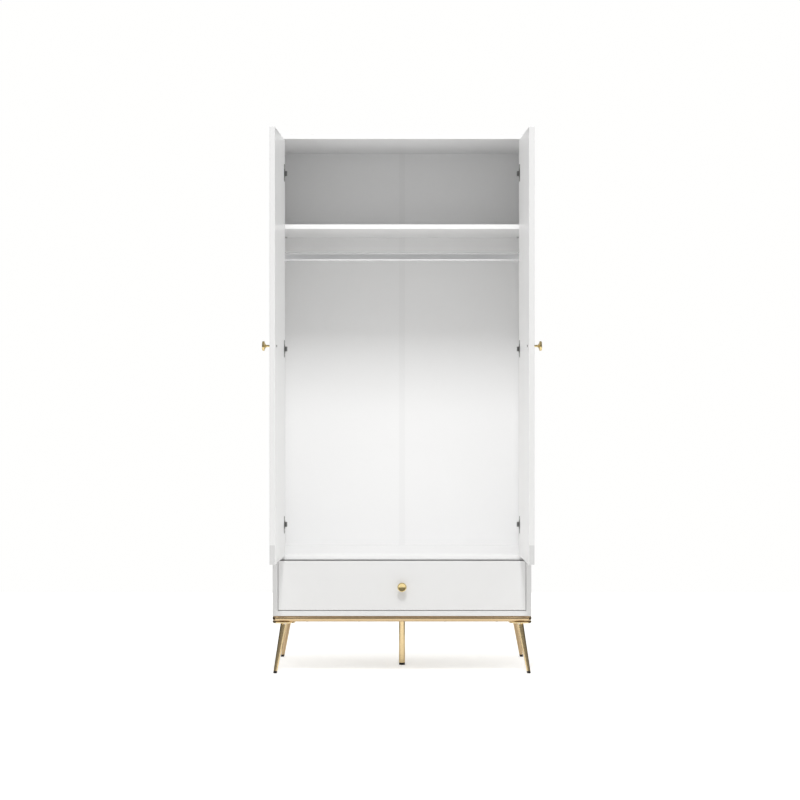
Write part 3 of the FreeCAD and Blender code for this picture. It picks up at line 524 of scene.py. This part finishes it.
def beech_skin():
    """Bare beech: fine pores and a soft stripe along X, mixed between two close browns."""
    tree, given, result = new_group(
        "beech_skin",
        (("Light", "Color", (0.62, 0.42, 0.24, 1)), ("Dark", "Color", (0.46, 0.28, 0.14, 1))),
        (("Colour", "Color"), ("Roughness", "Float"), ("Height", "Float")))
    place = add(tree, "TexCoord").outputs["Object"]
    long = add(tree, "Mapping", {"Vector": place, "Scale": (0.1, 1.0, 1.0)}).outputs["Vector"]
    pores = add(tree, "TexNoise", {"Vector": long, "Scale": 900.0, "Detail": 4.0}).outputs["Fac"]
    blend = tree.nodes.new("ShaderNodeMix")
    blend.data_type = "RGBA"
    tree.links.new(pores, blend.inputs["Factor"])
    tree.links.new(given.outputs["Light"], blend.inputs[6])
    tree.links.new(given.outputs["Dark"], blend.inputs[7])
    rough = add(tree, "Math", {0: pores, 1: 0.2, 2: 0.55}, operation="MULTIPLY_ADD").outputs[0]
    tree.links.new(blend.outputs[2], result.inputs["Colour"])
    tree.links.new(rough, result.inputs["Roughness"])
    tree.links.new(pores, result.inputs["Height"])
    return tree


clothe(skinned("bare_beech", beech_skin(), 0.00005), "carcass_dowels", "drawer_fixings")

# ---- Hanging rail --------------------------------------------------------------------------
# An oval steel tube, 30 by 15 mm, chromed and bright. Its ends sit in two plated sockets that are
# screwed to the sides.
rail_low, rail_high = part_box("hanging_rail")
rail_chrome = skinned("rail_chrome", plated, 0.00001, 0.5, Colour=(0.89, 0.895, 0.91, 1), Drift=0.04,
                      Roughness=0.16, Marks=1200.0)


def oval_ring(columns=64):
    """A flat-sided oval in the Y-Z plane: half-circles of the rail's half width, apart by the rest."""
    radius = (rail_high.y - rail_low.y) / 2
    straight = (rail_high.z - rail_low.z) / 2 - radius
    angle = np.linspace(0, 2 * math.pi, columns, endpoint=False)
    shift = np.where(np.sin(angle) >= 0, straight, -straight)
    return np.stack([np.zeros(columns), radius * np.cos(angle), radius * np.sin(angle) + shift], 1)


rail_z = (rail_low.z + rail_high.z) / 2
reach = np.linspace(rail_low.x, rail_high.x, 33)
middle_line = np.stack([reach, np.zeros_like(reach), np.full_like(reach, rail_z)], 1)
rail_wall = middle_line[:, None] + oval_ring()[None]
ends = [np.repeat(middle_line[i:i + 1 or None, None], 64, 1) for i in (0, -1)]
rail = piece_from_grids("hanging_rail_oval", [np.concatenate([ends[0], rail_wall, ends[1]])],
                        rail_chrome, 50.0)
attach(rail, "carcass")
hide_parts("hanging_rail")
clothe(rail_chrome, "rail_socket_left", "rail_socket_right")

# ---- Hinges --------------------------------------------------------------------------------
# Pressed and nickel-plated steel: cups let into the doors, goosenecked arms, and cross-shaped
# plates screwed to the sides, all held by pan-head screws.
nickel = skinned("hinge_nickel", plated, 0.00003, 1.0, Colour=(0.34, 0.34, 0.335, 1), Drift=0.08,
                 Roughness=0.28, Marks=500.0)
clothe(nickel, "hinge_arms", "hinge_plates", "hinge_cups_left", "hinge_cups_right",
       "door_knob_screw_left", "door_knob_screw_right")
clothe(bright_steel, "hinge_pins", "hinge_screws", "cup_screws_left", "cup_screws_right",
       "rail_socket_screws", "drawer_knob_screw")

# ---- Doors ---------------------------------------------------------------------------------
# 18 mm fibreboard with eased edges, lacquered like the carcass. The inner faces are a little paler
# than the carcass, which is painted light. The outer faces match the drawer front and the edges are
# a tone greyer than the inner faces, both painted shade; the edges' lowest 65 mm are greyer again.
grey_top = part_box("door_left")[0].z + 0.065
# Inner faces painted light, outer faces and edges painted shade, the edges' lowest 65 mm greyer again.
door_painted_light_and_shade = skinned("door_lacquer_painted_light_and_shade", banded, 0.00003, **{
    "Colour": (0.94, 0.94, 0.94, 1), "Edge shade": 0.80, "Foot tone": 0.84, "Foot top": grey_top,
    "Outer shade": 0.82, "Roughness": 0.34, "Peel": 320.0})
clothe(door_painted_light_and_shade, "door_left", "door_right")

# ---- Knobs ---------------------------------------------------------------------------------
# Turned and gold-plated knobs: a thin stem flares into a broad rim round a shallow dish. Each is
# held by one machine screw through the panel.
gold_knob = skinned("gold_knob", plated, 0.00001, 1.0, Colour=(0.84, 0.67, 0.33, 1), Drift=0.06,
                    Roughness=0.14, Marks=900.0)
knob_low, knob_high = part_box("drawer_knob")
knob_radius = (knob_high.x - knob_low.x) / 2
knob_reach = knob_high.y - knob_low.y
stem_radius = 0.00375
stem_length = 0.0130
rim_low = knob_reach - 0.0075
rim_round = 0.0024


def knob_profile():
    """Stem, a flare r = stem + (rim - stem) * s^2.2, a rounded rim, and a shallow round dish."""
    stem = [(0, 0), (0.0058, 0), (0.0058, 0.0006), (0.0046, 0.0014), (stem_radius, 0.0028)]
    s = np.linspace(0, 1, 18)
    flare = np.stack([stem_radius + (knob_radius - 0.0006 - stem_radius) * s ** 2.2,
                      stem_length + (rim_low - stem_length) * s ** 0.8], 1)
    turn = np.linspace(0, math.pi / 2, 9)
    heel = np.stack([knob_radius - 0.0006 + 0.0006 * np.sin(turn[1:]),
                     rim_low + 0.0006 * (1 - np.cos(turn[1:]))], 1)
    rim = np.stack([knob_radius - rim_round + rim_round * np.cos(turn),
                    knob_reach - rim_round + rim_round * np.sin(turn)], 1)
    d = np.linspace(1, 0, 14)
    dish = np.stack([(knob_radius - rim_round - 0.0004) * d, knob_reach - 0.0016 * (1 - d ** 2)], 1)
    return np.concatenate([stem, flare, heel, rim, dish])


def knob_piece(name, node, body, base, axis):
    made = piece_from_grids(name, [turned(knob_profile(), base, axis, 72)], gold_knob, 50.0)
    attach(made, body)
    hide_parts(node)


rest_angle = math.radians(91.6)
for sign, name in ((-1, "left"), (1, "right")):
    low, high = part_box("door_knob_" + name)
    axis = np.array([sign * math.sin(rest_angle), -math.cos(rest_angle), 0])
    spread = turned(knob_profile(), (0, 0, 0), axis, 72).reshape(-1, 3)
    base = (np.array(low) + np.array(high) - spread.min(0) - spread.max(0)) / 2
    base[0] = high.x - spread[:, 0].max() if sign > 0 else low.x - spread[:, 0].min()
    knob_piece("door_knob_" + name + "_turned", "door_knob_" + name, name + "_door", base, axis)
low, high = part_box("drawer_knob")
middle = (np.array(low) + np.array(high)) / 2
knob_piece("drawer_knob_turned", "drawer_knob", "drawer", (middle[0], high.y, middle[2]), (0, -1, 0))

# ---- Drawer --------------------------------------------------------------------------------
# A lacquered front on a box of 12 mm foil-wrapped chipboard, with a hardboard bottom in grooves.
# The front's darker lacquer is painted shade: a shaded copy of the carcass white.
front_painted_shade = skinned("drawer_front_painted_shade", lacquer, 0.00003, Colour=(0.74, 0.74, 0.74, 1),
                      Drift=0.03, Roughness=0.34, Peel=320.0)
clothe(front_painted_shade, "drawer_front")
foil = skinned("drawer_foil", sheet, 0.00004, Colour=(0.72, 0.72, 0.71, 1), Speckle=0.10,
               Roughness=0.45, Waves=0.5)
clothe(foil, "drawer_side_left", "drawer_side_right", "drawer_back")

# ---- Drawer runners ------------------------------------------------------------------------
# Three nested channels of zinc-plated sheet on each side; the ball strips run between them.
zinc = skinned("runner_zinc", plated, 0.00003, 1.0, Colour=(0.62, 0.64, 0.66, 1), Drift=0.12,
               Roughness=0.30, Marks=400.0)
for part in ("cabinet", "middle", "drawer"):
    clothe(zinc, "runner_" + part + "_left", "runner_" + part + "_right")

# ---- Floor, light and camera ---------------------------------------------------------------
# A plain pale floor, a broad soft light high in front, and a white surround. What shines on the
# wardrobe from the surround is weaker than what is seen of it, and dim where the metal mirrors it.
floor_mesh = bpy.data.meshes.new("floor")
floor_mesh.from_pydata([(-3, -3, 0), (3, -3, 0), (3, 3, 0), (-3, 3, 0)], [], [(0, 1, 2, 3)])
floor = bpy.data.objects.new("floor", floor_mesh)
bpy.context.scene.collection.objects.link(floor)
pale = bpy.data.materials.new("pale_floor")
pale.use_nodes = True
floor_shader = pale.node_tree.nodes["Principled BSDF"]
floor_shader.inputs["Base Color"].default_value = (0.92, 0.915, 0.90, 1)
floor_shader.inputs["Roughness"].default_value = 0.9
floor_shader.inputs["Emission Color"].default_value = (1.0, 0.995, 0.98, 1)
seen = add(pale.node_tree, "LightPath").outputs["Is Camera Ray"]
lift = add(pale.node_tree, "Math", {0: seen, 1: 0.37}, operation="MULTIPLY").outputs[0]
pale.node_tree.links.new(lift, floor_shader.inputs["Emission Strength"])
floor_mesh.materials.append(pale)

world = bpy.data.worlds.new("studio")
bpy.context.scene.world = world
world.use_nodes = True
sky = world.node_tree
background = sky.nodes["Background"]
background.inputs["Color"].default_value = (1.0, 0.998, 0.99, 1)
way = add(sky, "SeparateXYZ", {0: add(sky, "TexCoord").outputs["Generated"]})
across = add(sky, "Math", {0: way.outputs["X"]}, operation="ABSOLUTE").outputs[0]
round_about = add(sky, "MapRange", {"Value": across, "From Min": 0.45, "From Max": 0.60,
                                    "To Min": 0.66, "To Max": 0.52}).outputs["Result"]
overhead = add(sky, "MapRange", {"Value": way.outputs["Z"], "From Min": 0.30, "From Max": 0.50,
                                 "To Min": 0.0, "To Max": 1.0}).outputs["Result"]
shine = add(sky, "Math", {0: overhead, 1: round_about}, operation="MAXIMUM").outputs[0]
path = add(sky, "LightPath")
veil = add(sky, "Math", {0: path.outputs["Is Glossy Ray"], 1: -0.65, 2: 1.0},
           operation="MULTIPLY_ADD").outputs[0]
cast = add(sky, "Math", {0: shine, 1: veil}, operation="MULTIPLY").outputs[0]
level = add(sky, "Math", {0: path.outputs["Is Camera Ray"], 1: cast}, operation="MAXIMUM").outputs[0]
sky.links.new(level, background.inputs["Strength"])

# Two low dark cards beside the legs, met only by mirror rays, draw the dark lines in the metal.
card_x = 0.72
card_front = -0.25
card_rear = 0.45
card_top = 0.24
for side, name in ((-1, "left_card"), (1, "right_card")):
    card_mesh = bpy.data.meshes.new(name)
    x = side * card_x
    corners = [(x, card_front, 0), (x, card_rear, 0), (x, card_rear, card_top), (x, card_front, card_top)]
    card_mesh.from_pydata(corners, [], [(0, 1, 2, 3)])
    card = bpy.data.objects.new(name, card_mesh)
    bpy.context.scene.collection.objects.link(card)
    black = bpy.data.materials.new(name)
    black.use_nodes = True
    black.node_tree.nodes["Principled BSDF"].inputs["Base Color"].default_value = (0.02, 0.02, 0.02, 1)
    card_mesh.materials.append(black)
    card.visible_camera = card.visible_diffuse = card.visible_shadow = False


def soft_light(name, place, aim, width, height, power):
    """A rectangular soft light, turned so that it shines from its place towards its aim."""
    lamp = bpy.data.lights.new(name, "AREA")
    lamp.shape = "RECTANGLE"
    lamp.size = width
    lamp.size_y = height
    lamp.energy = power
    made = bpy.data.objects.new(name, lamp)
    made.location = place
    made.rotation_euler = (Vector(aim) - Vector(place)).to_track_quat("-Z", "Y").to_euler()
    made.visible_glossy = False
    bpy.context.scene.collection.objects.link(made)


soft_light("key_light", (0, -4.4, 5.6), (0, 0, 0.9), 0.7, 1.8, 188)

# The camera looks level along +Y from in front of the middle of the wardrobe.
eye_height = 0.986
eye_distance = 8.2
focal_length = 106.1
camera_data = bpy.data.cameras.new("camera")
camera_data.sensor_width = 36.0
camera_data.lens = focal_length
camera_data.shift_x = -0.0025
camera_data.shift_y = -0.0125
camera = bpy.data.objects.new("camera", camera_data)
camera.location = (0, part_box("side_left")[0].y - eye_distance, eye_height)
camera.rotation_euler = (math.radians(90), 0, 0)
bpy.context.scene.collection.objects.link(camera)
bpy.context.scene.camera = camera
bpy.context.scene.view_settings.view_transform = "Standard"
